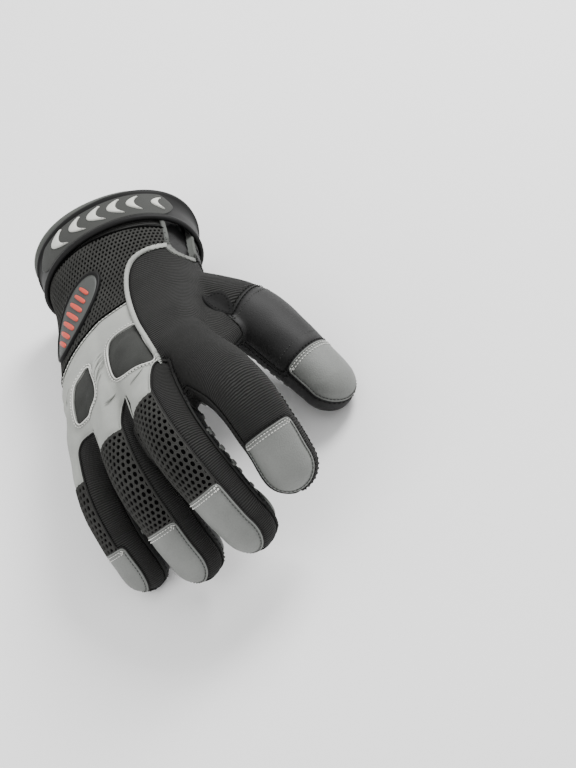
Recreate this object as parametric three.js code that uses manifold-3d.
// Insulated work glove for the right hand: one hollow shell cut into its sewn panels, with
// strap, rim, piping, emblem and grip pads on it.
// Hand frame: x to the thumb side, y to the cuff, z out of the back of the hand, millimetres.
// Once its panels are cut it is turned palm down, onto the surface that it rests on.
import * as THREE from "three";
import { mergeVertices } from "three/addons/utils/BufferGeometryUtils.js";
import Module from "manifold-3d";

const wasm = await Module();
wasm.setup();

// Driving sizes
const WALL = 2.4; // shell fabric with its insulation
const GAP = 0.3; // between neighbouring pieces
const SKIN = { digitSides: 12, bodySides: 20, dome: [35, 65] }; // dome: degrees, rings of a round tip
const LINING = { digitSides: 7, bodySides: 14, dome: [50] };
const RING_STEPS = 2; // rings per joint of a digit
const CUT_STEPS = 2; // and of the cutters along it
const FAR = 90; // reach of a cutter past the glove
const REST_TURN = { x: -13, y: -7.55 }; // degrees
const REST_DEPTH = 0.7; // fabric pressed flat where the glove rests

const RIM = 3.2; // bound edge of the cuff
const CUFF_END = { y: 47, slope: -0.1 }; // slope: drop of the end towards the thumb side
const CUFF_SEAM_Y = 15; // where cuff and hand panels meet
const STRAP = { low: 17, high: 44.5, thick: 2.6, from: 196, to: -38, tuck: 6 }; // angles run over the back
const STRAP_STEP = 14; // degrees
const CRESCENT = { y: 30.5, length: 14.5, width: 8, hollow: 5, thick: 0.9 };
const CRESCENT_ANGLES = [121, 106, 92, 79, 66, 48];
const SLIT = { bottomY: -13, z: 2, bottomRadius: 7, endRadius: 11 };
const GUSSET = { inset: 4.2, thick: 1.4, rows: [-15, -4, 14, 40], from: -10, to: 62, step: 12 }; // angles
const BINDING_RADIUS = 1.2;
const PIPING_RADIUS = 1.2;
const EMBLEM = { x: -17, y: -23, length: 52, width: 21, turn: 38, thick: 1.6 };
const PAD = { length: 20, width: 15, thick: 1.1, back: 2 };
const TAB = { x: 44.5, y: -52, z: -10, length: 17, width: 14, reach: 25 };
const BACK_SEAM = 0.5; // height of the side seams above a finger's centre line, in half depths
const PALM_SEAM = -0.4;

const vec = (x, y, z) => new THREE.Vector3(x, y, z);
const rad = THREE.MathUtils.degToRad;

// Turns rows of numbers into objects named by their columns.
function table(columns, rows) {
  return rows.map((row) => Object.fromEntries(columns.map((name, i) => [name, row[i]])));
}

// Digits: centre line from the root inside the palm to the centre of the round tip.
// back is the direction that the middle of the digit's back faces.
const JOINT = ["x", "y", "z", "halfWidth", "halfDepth"];
const DIGITS = {
  thumb: {
    back: vec(0.55, 0.05, 0.83),
    joints: table(JOINT, [
      [13, 16, -6, 14, 12],
      [22, -18, -10.5, 19.5, 16.5],
      [52.1, -45.8, -28.6, 17.5, 16.5],
      [64.1, -72.1, -47.4, 15.5, 14.5],
      [70.3, -89.2, -60.4, 14.5, 13.2],
    ]),
  },
  index: {
    back: vec(0.1, -0.6, 0.8),
    joints: table(JOINT, [
      [17, -56, -4.5, 17, 15],
      [25, -88, 0, 17, 16],
      [42.5, -130.6, -2.7, 15, 14.5],
      [45.4, -151.1, -22, 14.4, 13.8],
      [44.4, -160.1, -37.6, 14.4, 13],
    ]),
  },
  middle: {
    back: vec(-0.64, -0.61, 0.44),
    joints: table(JOINT, [
      [3, -60, -1, 16, 14],
      [4, -91, 3, 17, 16],
      [7.2, -140.6, -6.7, 15.5, 14.8],
      [10.8, -161.6, -31.1, 14.4, 13.8],
      [13, -169.1, -47, 14.4, 13],
    ]),
  },
  ring: {
    back: vec(-0.66, -0.6, 0.44),
    joints: table(JOINT, [
      [-14, -56, -3, 16, 14],
      [-17, -84, -1, 16.5, 15.5],
      [-20.9, -128.8, -15.1, 15, 14.4],
      [-20.8, -148.9, -38.7, 13.9, 13.3],
      [-20.2, -157.2, -54.6, 13.8, 12.8],
    ]),
  },
  pinky: {
    back: vec(-0.85, -0.4, 0.35),
    joints: table(JOINT, [
      [-29, -48, -6, 14, 13],
      [-36, -74, -9, 15, 14.5],
      [-47.1, -110.8, -23.2, 13, 12.6],
      [-50.2, -128, -40.8, 12.6, 12],
      [-50, -138.4, -57, 12.6, 12],
    ]),
  },
};

// Web between thumb and index finger: sections that reach from one digit's middle to the other's.
const WEB_BACK = vec(0.6, 0.17, 0.78);
const WEB = table(
  ["thumbX", "thumbY", "thumbZ", "indexX", "indexY", "indexZ", "halfDepth"],
  [
    [20, -14, -11, 18, -40, -5, 14],
    [38, -32, -20, 24, -76, -2, 13],
    [48, -42, -27, 29, -92, -1, 9.5],
    [53, -50, -32, 33, -104, -1, 6],
  ],
);
const WEB_EDGE = 3; // round of its free edge

// Body: superellipse sections from the cuff's end to the knuckles.
const SECTION = ["y", "x", "z", "halfWidth", "halfDepth", "twist", "power"];
const BODY = table(SECTION, [
  [58, 2, -3, 44.4, 31.8, 9.4, 2.1],
  [14, 2.3, -3.3, 41.5, 29.5, 9, 2.1],
  [-4, 2, -4, 41, 26, 7, 2.2],
  [-24, 0, -4.5, 42, 22.5, 3, 2.3],
  [-46, -2, -4, 43.5, 19.5, -2, 2.4],
  [-68, -5, -3.5, 45, 18, -8, 2.5],
  [-86, -5, -2.5, 42, 16, -9, 2.4],
  [-100, -1, -2.5, 35, 12, -9, 2.2],
  [-112, 8, -4, 22, 7, -9, 2.2],
  [-121, 21, -2, 14, 6, -2, 2.2],
]);
const MOUTH = { ...BODY[0], y: FAR };

// Where back and palm panels meet: the lowest z of the back panels along the hand.
const SIDE_SEAM = table(
  ["y", "zOutward", "zThumbward"],
  [
    [FAR, -9, 2],
    [0, -9, 2],
    [-50, -9, -2],
    [-90, -16, 0],
    [-115, -29, 10],
    [-140, -48, 10],
  ],
);
const SEAM_SPAN = { outward: -60, thumbward: 45 }; // x of its two columns

// Course of the piping over the back, which parts mesh and knuckle panel from the ribbed back.
const PIPING = table(
  ["x", "y"],
  [
    [35, -5.5],
    [27, -7],
    [18, -11],
    [13, -19],
    [10, -32],
    [9.5, -48],
    [11, -66],
    [14, -87],
    [16.5, -104],
  ],
);

// Dark insets in the knuckle panel, as the corners of their outlines.
const WINDOWS = {
  knuckle_window_large: table(
    ["x", "y"],
    [
      [9.6, -63.5],
      [4.9, -60.9],
      [-2, -59.6],
      [-7, -60.8],
      [-9.3, -65.4],
      [-10, -76],
      [-10, -88],
      [-8.2, -92],
      [-2.8, -98.6],
      [5.4, -101.4],
      [14.6, -100.4],
      [12, -81],
    ],
  ),
  knuckle_window_small: table(
    ["x", "y"],
    [
      [-23.4, -64.4],
      [-29.4, -65.4],
      [-34.8, -67],
      [-38, -73],
      [-40, -83],
      [-40, -89],
      [-33.8, -92],
      [-24, -94],
      [-20.8, -87],
      [-21.4, -75.5],
    ],
  ),
};
const KNUCKLE_START_Y = -41; // knuckle panel's edge towards the wrist

// Materials
const cloth = (color, roughness = 0.9) => new THREE.MeshStandardMaterial({ color, roughness, metalness: 0 });
const MATERIALS = {
  palmLeather: cloth(0x232323, 0.75),
  ribbed: cloth(0x2d2d2c, 0.92),
  mesh: cloth(0x3b3b39, 0.9),
  grayPanel: cloth(0xbbbdb8, 0.8),
  tipGray: cloth(0x8c8e8b, 0.6),
  inset: cloth(0x4e4f4d, 0.95),
  strapRubber: cloth(0x3a3b39, 0.6),
  paleRubber: cloth(0xe1e2de, 0.5),
  padRubber: cloth(0x9a9c98, 0.3),
};

// Solids
function solidOf(geometry) {
  geometry.deleteAttribute("normal");
  geometry.deleteAttribute("uv");
  const merged = mergeVertices(geometry, 1e-4);
  return new wasm.Manifold(
    new wasm.Mesh({
      numProp: 3,
      vertProperties: new Float32Array(merged.attributes.position.array),
      triVerts: new Uint32Array(merged.index.array),
    }),
  );
}

function unionOf(solids) {
  return solids.reduce((sum, solid) => sum.add(solid));
}

function middleOf(ring) {
  return ring.reduce((sum, p) => sum.add(p), vec(0, 0, 0)).divideScalar(ring.length);
}

// Closed skin through rings of points, each ring a closed loop of the same count.
// Each end closes on a point: first and last, which default to the ring's own middle.
function loft(rings, first = middleOf(rings[0]), last = middleOf(rings.at(-1))) {
  const count = rings[0].length;
  const points = [first, ...rings.flat(), last];
  const at = (ring, k) => 1 + ring * count + (k % count);
  const faces = [];
  for (let k = 0; k < count; k++) {
    faces.push([0, at(0, k + 1), at(0, k)]);
    faces.push([points.length - 1, at(rings.length - 1, k), at(rings.length - 1, k + 1)]);
    for (let r = 0; r + 1 < rings.length; r++) {
      faces.push([at(r, k), at(r, k + 1), at(r + 1, k + 1)]);
      faces.push([at(r, k), at(r + 1, k + 1), at(r + 1, k)]);
    }
  }
  const build = (list) =>
    solidOf(
      new THREE.BufferGeometry()
        .setAttribute(
          "position",
          new THREE.BufferAttribute(new Float32Array(points.flatMap((p) => p.toArray())), 3),
        )
        .setIndex(list.flat()),
    );
  const made = build(faces);
  return made.volume() > 0 ? made : build(faces.map(([a, b, c]) => [a, c, b]));
}

// Place along a digit at t, counted in joints: centre, directions and half sizes.
function digitAt(digit, t) {
  const { joints, back } = digit;
  const end = joints.length - 1;
  const points = joints.map((j) => vec(j.x, j.y, j.z));
  digit.curve ??= new THREE.CatmullRomCurve3(points, false, "catmullrom", 0.5);
  const low = Math.min(Math.floor(t), end - 1);
  const mix = (name) => THREE.MathUtils.lerp(joints[low][name], joints[low + 1][name], t - low);
  const axis = digit.curve.getTangent(t / end);
  const up = back.clone().addScaledVector(axis, -back.dot(axis)).normalize();
  return {
    center: digit.curve.getPoint(t / end),
    axis,
    up,
    side: vec(0, 0, 0).crossVectors(axis, up).normalize(),
    halfWidth: mix("halfWidth"),
    halfDepth: mix("halfDepth"),
  };
}

// Point beside a place: forward along the axis, across to the side and up towards the back.
function beside(place, forward, across, up) {
  return place.center
    .clone()
    .addScaledVector(place.axis, forward)
    .addScaledVector(place.side, across)
    .addScaledVector(place.up, up);
}

// Elliptical ring round a place, drawn in by inset.
function ringAt(place, forward, scale, inset, sides) {
  return Array.from({ length: sides }, (_, k) => {
    const angle = (2 * Math.PI * (k + 0.5)) / sides;
    const across = Math.cos(angle) * (place.halfWidth - inset) * scale;
    return beside(place, forward, across, Math.sin(angle) * (place.halfDepth - inset) * scale);
  });
}

// A digit's solid, drawn in by inset for its hollow.
function digitSolid(digit, inset, { digitSides, dome } = SKIN) {
  const end = digit.joints.length - 1;
  const rings = [];
  for (let i = 0; i <= end * RING_STEPS; i++) {
    rings.push(ringAt(digitAt(digit, i / RING_STEPS), 0, 1, inset, digitSides));
  }
  const tip = digitAt(digit, end);
  const reach = tip.halfWidth - inset;
  for (const angle of dome.map(rad)) {
    rings.push(ringAt(tip, Math.sin(angle) * reach, Math.cos(angle), inset, digitSides));
  }
  return loft(rings, undefined, beside(tip, reach, 0, 0));
}

// The web's solid, built as a digit is.
function webSolid(inset, { digitSides } = SKIN) {
  const ends = WEB.map((row) => [
    vec(row.thumbX, row.thumbY, row.thumbZ),
    vec(row.indexX, row.indexY, row.indexZ),
    row.halfDepth,
  ]);
  const places = ends.map(([thumb, index, halfDepth]) => {
    const side = thumb.clone().sub(index).normalize();
    const up = WEB_BACK.clone().addScaledVector(side, -WEB_BACK.dot(side)).normalize();
    return {
      center: thumb.clone().add(index).divideScalar(2),
      axis: vec(0, 0, 0).crossVectors(side, up),
      up,
      side,
      halfWidth: thumb.distanceTo(index) / 2,
      halfDepth,
    };
  });
  return loft(
    places.map((place) => ringAt(place, 0, 1, inset, digitSides)),
    undefined,
    beside(places.at(-1), WEB_EDGE - inset, 0, 0),
  );
}

// Section of the body at any y, between its rows.
function bodyRow(y) {
  const i = Math.min(Math.max(BODY.findIndex((row) => row.y <= y), 1), BODY.length - 1);
  const [above, below] = [BODY[i - 1], BODY[i]];
  const share = (above.y - y) / (above.y - below.y);
  const mix = (name) => THREE.MathUtils.lerp(above[name], below[name], share);
  return Object.fromEntries(SECTION.map((name) => [name, mix(name)]));
}

// Point of a body section; angle counts from the thumb side over the back.
function bodyPoint(row, angle, inset) {
  const round = (value) => Math.sign(value) * Math.abs(value) ** (2 / row.power);
  const across = round(Math.cos(angle)) * (row.halfWidth - inset);
  const deep = round(Math.sin(angle)) * (row.halfDepth - inset);
  const twist = rad(row.twist);
  return vec(
    row.x + across * Math.cos(twist) + deep * Math.sin(twist),
    row.y,
    row.z - across * Math.sin(twist) + deep * Math.cos(twist),
  );
}

function bodySolid(inset, { bodySides } = SKIN, rows = BODY) {
  const angles = Array.from({ length: bodySides }, (_, k) => (2 * Math.PI * (k + 0.5)) / bodySides);
  const ring = (row) => angles.map((angle) => bodyPoint(row, angle, inset));
  return loft(rows.map(ring));
}

function formOf(inset, detail, rows) {
  const digits = Object.values(DIGITS).map((digit) => digitSolid(digit, inset, detail));
  return unionOf([bodySolid(inset, detail, rows), webSolid(inset, detail), ...digits]);
}

// Cutters. Each takes grow: the millimetres added on every side.

// Block that follows a digit. Its sides are in half sizes from the centre line.
function digitBlock(digit, { from, to, left = -1.1, right = 1.1, low = -1.15, high = 1.15 }, grow) {
  const end = digit.joints.length - 1;
  const ring = (t, forward) => {
    const place = digitAt(digit, t);
    const corner = (across, up, signAcross, signUp) => {
      const sideways = across * place.halfWidth + signAcross * grow;
      return beside(place, forward, sideways, up * place.halfDepth + signUp * grow);
    };
    return [
      corner(left, low, -1, -1),
      corner(right, low, 1, -1),
      corner(right, high, 1, 1),
      corner(left, high, -1, 1),
    ];
  };
  const last = Math.min(to, end);
  const rings = [ring(from, -grow)];
  for (let i = Math.floor(from * CUT_STEPS) + 1; i / CUT_STEPS < last - 0.1; i++) {
    rings.push(ring(i / CUT_STEPS, 0));
  }
  rings.push(to > end ? ring(end, FAR / 3) : ring(last, grow));
  return loft(rings);
}

// Closed outline moved out by grow.
function moveOut(points, grow) {
  const area = points.reduce((sum, p, i) => {
    const next = points[(i + 1) % points.length];
    return sum + p.x * next.y - next.x * p.y;
  }, 0);
  return points.map((p, i) => {
    const along = points[(i + 1) % points.length].clone().sub(points.at(i - 1));
    const out = vec(along.y, -along.x, 0).normalize().multiplyScalar(Math.sign(area) * grow);
    return p.clone().add(out);
  });
}

// Prism over an outline, from z low to z high.
function prism(points, low, high) {
  const shape = new THREE.Shape(points.map((p) => new THREE.Vector2(p.x, p.y)));
  const geometry = new THREE.ExtrudeGeometry(shape, { depth: high - low, bevelEnabled: false });
  return solidOf(geometry.translate(0, 0, low));
}

// Everything above the side seam: a slab along the whole hand.
function backSlab(grow) {
  const ring = ({ y, zOutward, zThumbward }) => {
    const slope = (zThumbward - zOutward) / (SEAM_SPAN.thumbward - SEAM_SPAN.outward);
    const seamAt = (x) => vec(x, y, zOutward + slope * (x - SEAM_SPAN.outward) - grow);
    return [seamAt(-FAR), seamAt(FAR), vec(FAR, y, FAR), vec(-FAR, y, FAR)];
  };
  return loft(SIDE_SEAM.map(ring));
}

// Half space on one side of a plane, as a large block.
function halfSpace(normal, distance, grow) {
  const block = new THREE.BoxGeometry(4 * FAR, 4 * FAR, 4 * FAR).translate(0, 0, 2 * FAR + distance - grow);
  const turn = new THREE.Quaternion().setFromUnitVectors(vec(0, 0, 1), normal.clone().normalize());
  return solidOf(block.applyQuaternion(turn));
}

// Regions on the two sides of the piping, seen from the back.
const pipingLine = new THREE.CatmullRomCurve3(PIPING.map((p) => vec(p.x, p.y, 0))).getPoints(12);
const fingerEnd = -2 * FAR;
const wristEnd = PIPING[0].y;

function thumbSide(grow) {
  const corners = [vec(22, fingerEnd, 0), vec(2 * FAR, fingerEnd, 0), vec(2 * FAR, wristEnd, 0)];
  return prism(moveOut([...pipingLine, ...corners], grow), -FAR, FAR);
}

function outwardSide(grow) {
  const corners = [vec(22, fingerEnd, 0), vec(-FAR, fingerEnd, 0), vec(-FAR, FAR, 0), vec(FAR, FAR, 0)];
  return prism(moveOut([...pipingLine, ...corners, vec(FAR, wristEnd, 0)], grow), -FAR, FAR);
}

// Half of the hand on the far side of a y plane, towards the fingers.
const fingerward = (y, grow) => halfSpace(vec(0, -1, 0), -y, grow);
const wristward = (y, grow) => halfSpace(vec(0, 1, 0), y, grow);

// Oval or other outline turned into a prism along a direction, out of a point.
function towards(points, center, along, out, low, high) {
  const across = vec(0, 0, 0).crossVectors(along, out).normalize();
  const up = vec(0, 0, 0).crossVectors(across, along).normalize();
  const basis = new THREE.Matrix4().makeBasis(across, along.clone().normalize(), up).setPosition(center);
  const shape = new THREE.Shape(points);
  const geometry = new THREE.ExtrudeGeometry(shape, { depth: high - low, bevelEnabled: false });
  return solidOf(geometry.translate(0, 0, low).applyMatrix4(basis));
}

function oval(length, width, steps = 18) {
  const angles = Array.from({ length: steps }, (_, i) => (2 * Math.PI * i) / steps);
  return angles.map((a) => new THREE.Vector2((Math.cos(a) * width) / 2, (Math.sin(a) * length) / 2));
}

// Cord of a round section along points.
function cord(points, radius, steps, sides = 5) {
  const angles = Array.from({ length: sides }, (_, i) => (2 * Math.PI * (i + 0.5)) / sides);
  const section = new THREE.Shape(
    angles.map((a) => new THREE.Vector2(Math.cos(a) * radius, Math.sin(a) * radius)),
  );
  const extrudePath = new THREE.CatmullRomCurve3(points);
  return solidOf(new THREE.ExtrudeGeometry(section, { extrudePath, steps }));
}

// Shell
const outer = formOf(0, SKIN, BODY);
const hollow = formOf(WALL, LINING, [MOUTH, ...BODY]);
const cuffEnd = vec(-CUFF_END.slope, 1, 0);
const pastCuff = halfSpace(cuffEnd, CUFF_END.y / cuffEnd.length(), 0);
let rest = outer.subtract(hollow).subtract(pastCuff);

// Point where a line from outside first meets the skin.
const skin = new THREE.Mesh(geometryOf(outer));
function onSkin(from, direction, sunk) {
  const hit = new THREE.Raycaster(from, direction.clone().normalize()).intersectObject(skin)[0];
  return hit.point.addScaledVector(direction.clone().normalize(), sunk);
}

function geometryOf(solid) {
  const made = solid.getMesh();
  return new THREE.BufferGeometry()
    .setAttribute("position", new THREE.BufferAttribute(new Float32Array(made.vertProperties), 3))
    .setIndex(new THREE.BufferAttribute(new Uint32Array(made.triVerts), 1));
}

const pieces = [];

// Main body of what a cut leaves; the slivers beside it are let go.
function largest(solid, name) {
  const bodies = solid.decompose().sort((a, b) => b.volume() - a.volume());
  if (!bodies.length) throw new Error(name + " is empty");
  return bodies[0];
}

function keep(name, solid, material) {
  pieces.push({ name, solid: largest(solid, name), material });
}

// Piece on its own that the shell makes room for.
function addOn(name, shape, material) {
  keep(name, shape(0), material);
  rest = rest.subtract(shape(GAP));
}

// Cuts a panel out of what is left of the shell. cutter gives the region, grown by its argument.
function takePanel(name, cutter, material) {
  keep(name, rest.intersect(cutter(-GAP / 2)), material);
  rest = rest.subtract(cutter(GAP / 2));
}

function byIntersection(...cutters) {
  return (grow) => cutters.map((cutter) => cutter(grow)).reduce((a, b) => a.intersect(b));
}

function byUnion(...cutters) {
  return (grow) => unionOf(cutters.map((cutter) => cutter(grow)));
}

const D = DIGITS;
const past = 9; // beyond every digit's end

// Opening slit on the thumb side of the cuff and its bound edge
function slitOutline(grow) {
  const side = (sign, count) =>
    Array.from({ length: count }, (_, i) => {
      const y = THREE.MathUtils.lerp(SLIT.bottomY + SLIT.bottomRadius, FAR, i / (count - 1));
      const share = (y - SLIT.bottomY) / (CUFF_END.y - SLIT.bottomY);
      const reach = THREE.MathUtils.lerp(SLIT.bottomRadius, SLIT.endRadius, share) + grow;
      return vec(y, SLIT.z + sign * reach, 0);
    });
  const bottom = [60, 90, 120].map(rad).map((a) => {
    const reach = SLIT.bottomRadius + grow;
    const y = SLIT.bottomY + SLIT.bottomRadius - Math.sin(a) * reach;
    return vec(y, SLIT.z - Math.cos(a) * reach, 0);
  });
  return [...side(-1, 4).reverse(), ...bottom, ...side(1, 4)];
}
const slitShape = slitOutline(0).map((p) => new THREE.Vector2(p.x, p.y));
const alongY = new THREE.Matrix4().makeBasis(vec(0, 1, 0), vec(0, 0, 1), vec(1, 0, 0));
const slit = solidOf(
  new THREE.ExtrudeGeometry(new THREE.Shape(slitShape), { depth: FAR, bevelEnabled: false })
    .translate(0, 0, 20)
    .applyMatrix4(alongY),
);
const bindingEnd = CUFF_END.y - RIM - 6;
const bindingLine = slitOutline(0)
  .filter((p) => p.x < bindingEnd)
  .map((p) => onSkin(vec(FAR, p.x, p.y), vec(-1, 0, 0), WALL / 2));
rest = rest.subtract(slit);
addOn("slit_binding", (grow) => cord(bindingLine, BINDING_RADIUS + grow, 14), MATERIALS.grayPanel);

// Gusset that closes the slit from inside: a bent sheet that reaches past the slit's edges
function gussetRing(angle) {
  const line = (inset) => GUSSET.rows.map((y) => bodyPoint(bodyRow(y), rad(angle), inset));
  return [...line(GUSSET.inset), ...line(GUSSET.inset + GUSSET.thick).reverse()];
}
const gussetAngles = [];
for (let angle = GUSSET.from; angle <= GUSSET.to; angle += GUSSET.step) gussetAngles.push(angle);
keep("slit_gusset", loft(gussetAngles.map(gussetRing)), MATERIALS.palmLeather);

// Piping, sunk halfway into the seam that it covers
const pipingOnSkin = PIPING.slice(1).map((p) => onSkin(vec(p.x, p.y, FAR), vec(0, 0, -1), 0));
addOn("back_piping", (grow) => cord(pipingOnSkin, PIPING_RADIUS + grow, 14), MATERIALS.grayPanel);

// Oval emblem plate, bent over the back
const emblemTurn = rad(EMBLEM.turn);
const emblemPrism = towards(
  oval(EMBLEM.length, EMBLEM.width, 20),
  vec(EMBLEM.x, EMBLEM.y, 0),
  vec(Math.cos(emblemTurn), Math.sin(emblemTurn), 0),
  vec(-0.25, 0, 1),
  0,
  FAR,
);
keep(
  "emblem",
  bodySolid(-GAP - EMBLEM.thick).subtract(bodySolid(-GAP)).intersect(emblemPrism),
  MATERIALS.inset,
);

// Grip pads on the fronts of the tips
for (const name of Object.keys(DIGITS)) {
  const tip = digitAt(DIGITS[name], DIGITS[name].joints.length - 1);
  const place = beside(tip, -PAD.back, 0, 0);
  const front = tip.up.clone().negate();
  const under = towards(oval(PAD.length, PAD.width, 14), place, tip.axis, front, 0, FAR / 3);
  const layer = digitSolid(DIGITS[name], -GAP - PAD.thick).subtract(digitSolid(DIGITS[name], -GAP));
  keep("grip_pad_" + name, layer.intersect(under), MATERIALS.padRubber);
}

// Wrist strap and its crescents
const between = CRESCENT_ANGLES.slice(1).map((angle, i) => (angle + CRESCENT_ANGLES[i]) / 2);
const steps = (from, to) => {
  const count = Math.round((from - to) / STRAP_STEP);
  return Array.from({ length: count + 1 }, (_, i) => from + ((to - from) * i) / count);
};
const strapAngles = [
  ...steps(STRAP.from, CRESCENT_ANGLES[0] + STRAP_STEP / 2),
  ...between,
  ...steps(CRESCENT_ANGLES.at(-1) - STRAP_STEP / 2, STRAP.to),
];
const strapRing = (angle, i) => {
  const tuck = i === 0 || i === strapAngles.length - 1 ? STRAP.tuck : 0;
  const corner = (y, out) => bodyPoint(bodyRow(y), rad(angle), -2 * GAP - out);
  return [
    corner(STRAP.low + tuck, 0),
    corner(STRAP.high - tuck, 0),
    corner(STRAP.high - tuck, STRAP.thick),
    corner(STRAP.low + tuck, STRAP.thick),
  ];
};
keep("cuff_strap", loft(strapAngles.map(strapRing)), MATERIALS.strapRubber);

function crescentShape() {
  const { length, width, hollow } = CRESCENT;
  const shape = new THREE.Shape();
  shape.moveTo(width / 2, -length / 2);
  shape.quadraticCurveTo(-width, 0, width / 2, length / 2);
  shape.quadraticCurveTo(hollow - width, 0, width / 2, -length / 2);
  return shape;
}
CRESCENT_ANGLES.forEach((angle, i) => {
  const near = strapAngles.findIndex((a) => a < angle);
  const corner = (y, i) => bodyPoint(bodyRow(y), rad(strapAngles[i]), -2 * GAP - STRAP.thick);
  const between = (y) => corner(y, near - 1).add(corner(y, near)).divideScalar(2);
  const [low, high] = [between(STRAP.low), between(STRAP.high)];
  const across = corner(CRESCENT.y, near).sub(corner(CRESCENT.y, near - 1)).normalize();
  const out = vec(0, 0, 0).crossVectors(across, high.clone().sub(low)).normalize();
  const along = vec(0, 0, 0).crossVectors(out, across);
  const share = (CRESCENT.y - STRAP.low) / (STRAP.high - STRAP.low);
  const middle = low.lerp(high, share).addScaledVector(out, 1.5 * GAP);
  const basis = new THREE.Matrix4().makeBasis(across, along, out).setPosition(middle);
  const geometry = new THREE.ExtrudeGeometry(crescentShape(), {
    depth: CRESCENT.thick,
    bevelEnabled: false,
    curveSegments: 6,
  });
  keep("strap_crescent_" + (i + 1), solidOf(geometry.applyMatrix4(basis)), MATERIALS.paleRubber);
});

// Bound edge of the cuff
takePanel(
  "cuff_rim",
  (grow) => halfSpace(cuffEnd, (CUFF_END.y - RIM) / cuffEnd.length(), grow),
  MATERIALS.grayPanel,
);

// Tip patches
const BACK = { left: -0.97, right: 0.97, low: BACK_SEAM, high: 1.4 };
const PATCH_START = { thumb: 3.25, index: 2.98, middle: 2.72, ring: 2.9, pinky: 3.25 };
const THUMB_PATCH_LOW = 0.15; // the thumb's patch reaches further down its sides
for (const [name, from] of Object.entries(PATCH_START)) {
  const low = name === "thumb" ? THUMB_PATCH_LOW : BACK_SEAM;
  takePanel(
    "tip_patch_" + name,
    (grow) => digitBlock(D[name], { from, to: past, ...BACK, low }, grow),
    MATERIALS.tipGray,
  );
}

// Mesh backs of three fingers
const MESH_START = { middle: 1.5, ring: 1.65, pinky: 1.95 };
const PINKY_MESH_LEFT = -0.65; // beyond it the ribbed side wall comes up over the little finger's back
for (const [name, from] of Object.entries(MESH_START)) {
  const to = PATCH_START[name];
  const left = name === "pinky" ? PINKY_MESH_LEFT : BACK.left;
  const back = (grow) => digitBlock(D[name], { from, to, ...BACK, left }, grow);
  const edge = (grow) => digitBlock(D[name], { from, to, left: 0.3, low: PALM_SEAM }, grow);
  takePanel(name + "_back", name === "pinky" ? byUnion(back, edge) : back, MATERIALS.mesh);
}

// Ribbed side walls between the fingers: each starts as a tongue low between the knuckles, at
// "from", and comes up to the back seam at "full"
const THUMB_SIDE = { left: -1.1, right: 0 };
const PINKY_SIDE = { left: 0, right: 1.1 };
const SIDE_WALLS = table(
  ["name", "digit", "side", "from", "full"],
  [
    ["middle_side_thumbward", "middle", THUMB_SIDE, 1.2, 1.47],
    ["ring_side_thumbward", "ring", THUMB_SIDE, 1.15, 1.55],
    ["pinky_side", "pinky", THUMB_SIDE, 1.45, 1.6],
    ["index_side", "index", PINKY_SIDE, 1.25, 1.35],
    ["middle_side_outward", "middle", PINKY_SIDE, 1.2, 1.47],
    ["ring_side_outward", "ring", PINKY_SIDE, 1.15, 1.55],
  ],
);
const TONGUE_HIGH = 0.05; // height of a tongue above the finger's centre line, in half depths
for (const { name, digit, side, from, full } of SIDE_WALLS) {
  const span = { from: full, to: past, low: PALM_SEAM, high: BACK_SEAM, ...side };
  const beside = (grow) => digitBlock(D[digit], span, grow);
  const tongue = (grow) => digitBlock(D[digit], { ...span, from, high: TONGUE_HIGH }, grow);
  const wall = byUnion(beside, tongue);
  const overBack = { ...span, to: PATCH_START.pinky, right: PINKY_MESH_LEFT, high: 1.4 };
  const top = (grow) => digitBlock(D.pinky, overBack, grow);
  takePanel(name, digit === "pinky" ? byUnion(wall, top) : wall, MATERIALS.ribbed);
}

// Tab at the thumb crotch, then the thumb band
const tabCenter = vec(TAB.x, TAB.y, TAB.z);
const tabAlong = vec(0.3, -0.9, -0.2);
takePanel(
  "thumb_crotch_tab",
  (grow) => {
    const shape = oval(TAB.length + 2 * grow, TAB.width + 2 * grow, 12);
    return towards(shape, tabCenter, tabAlong, WEB_BACK, 0, TAB.reach);
  },
  MATERIALS.palmLeather,
);
const bandSpan = { from: 1.97, to: PATCH_START.thumb, low: -0.1 };
takePanel(
  "thumb_band",
  (grow) => digitBlock(D.thumb, bandSpan, grow).subtract(webSolid(grow - 1)),
  MATERIALS.palmLeather,
);

// Windows of the knuckle panel
for (const [name, corners] of Object.entries(WINDOWS)) {
  const points = corners.map((c) => vec(c.x, c.y, 0));
  takePanel(name, (grow) => prism(moveOut(points, grow), 0, FAR), MATERIALS.inset);
}

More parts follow.
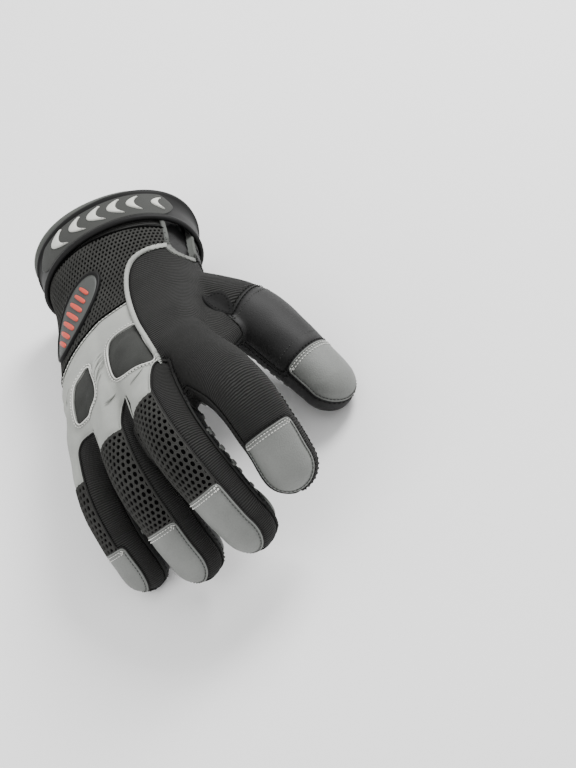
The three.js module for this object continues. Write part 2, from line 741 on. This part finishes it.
// Ribbed back of index finger, web and thumb
const radialSeam = WEB_BACK.dot(vec(22, -18, -12)) / WEB_BACK.length() - 2;
const radialBack = (grow) => halfSpace(WEB_BACK, radialSeam, grow);
const pastWrist = (grow) => fingerward(CUFF_SEAM_Y, grow);
const indexBack = (grow) => digitBlock(D.index, { from: 1, to: past, low: -0.15 }, grow);
takePanel(
  "index_thumb_back",
  byIntersection(thumbSide, byUnion(byIntersection(radialBack, pastWrist), indexBack)),
  MATERIALS.ribbed,
);

// Back of the hand and cuff
const knuckleSide = (grow) => fingerward(KNUCKLE_START_Y, grow);
const handBack = byIntersection(backSlab, outwardSide);
takePanel("knuckle_panel", byIntersection(handBack, knuckleSide), MATERIALS.grayPanel);
const cuffSide = (grow) => wristward(CUFF_SEAM_Y, grow);
takePanel("back_mesh", byIntersection(handBack, pastWrist), MATERIALS.mesh);
takePanel("cuff_back_band", byIntersection(backSlab, cuffSide), MATERIALS.ribbed);
takePanel("cuff_band", cuffSide, MATERIALS.palmLeather);

// Fronts of the digits, then the palm
const FRONT_START = { thumb: 1.4, index: 1.4, middle: 1.4, ring: 1.45, pinky: 1.5 };
for (const [name, from] of Object.entries(FRONT_START)) {
  const front = (grow) => digitBlock(D[name], { from, to: past, high: 1.4 }, grow);
  takePanel("front_" + name, front, MATERIALS.palmLeather);
}
keep("palm_panel", rest, MATERIALS.palmLeather);

// Palm down on the surface, pressed flat where it rests, then centred over the origin
const turn = new THREE.Matrix4().makeRotationFromEuler(
  new THREE.Euler(rad(REST_TURN.x), rad(REST_TURN.y), 0, "YXZ"),
);
const boxOf = (list) => {
  const box = new THREE.Box3();
  for (const { solid } of list) {
    const { min, max } = solid.boundingBox();
    box.expandByPoint(vec(...min)).expandByPoint(vec(...max));
  }
  return box;
};
for (const piece of pieces) piece.solid = piece.solid.transform(turn.elements);
const floor = boxOf(pieces).min.z + REST_DEPTH;
for (const piece of pieces) {
  if (piece.solid.boundingBox().min[2] < floor) piece.solid = piece.solid.trimByPlane([0, 0, 1], floor);
}
const middle = boxOf(pieces).getCenter(vec(0, 0, 0));

// Assembly
const glove = new THREE.Group();
for (const { name, solid, material } of pieces) {
  const geometry = geometryOf(solid.translate(-middle.x, -middle.y, -floor));
  const mesh = new THREE.Mesh(geometry, material);
  mesh.name = name;
  glove.add(mesh);
}
export default glove;
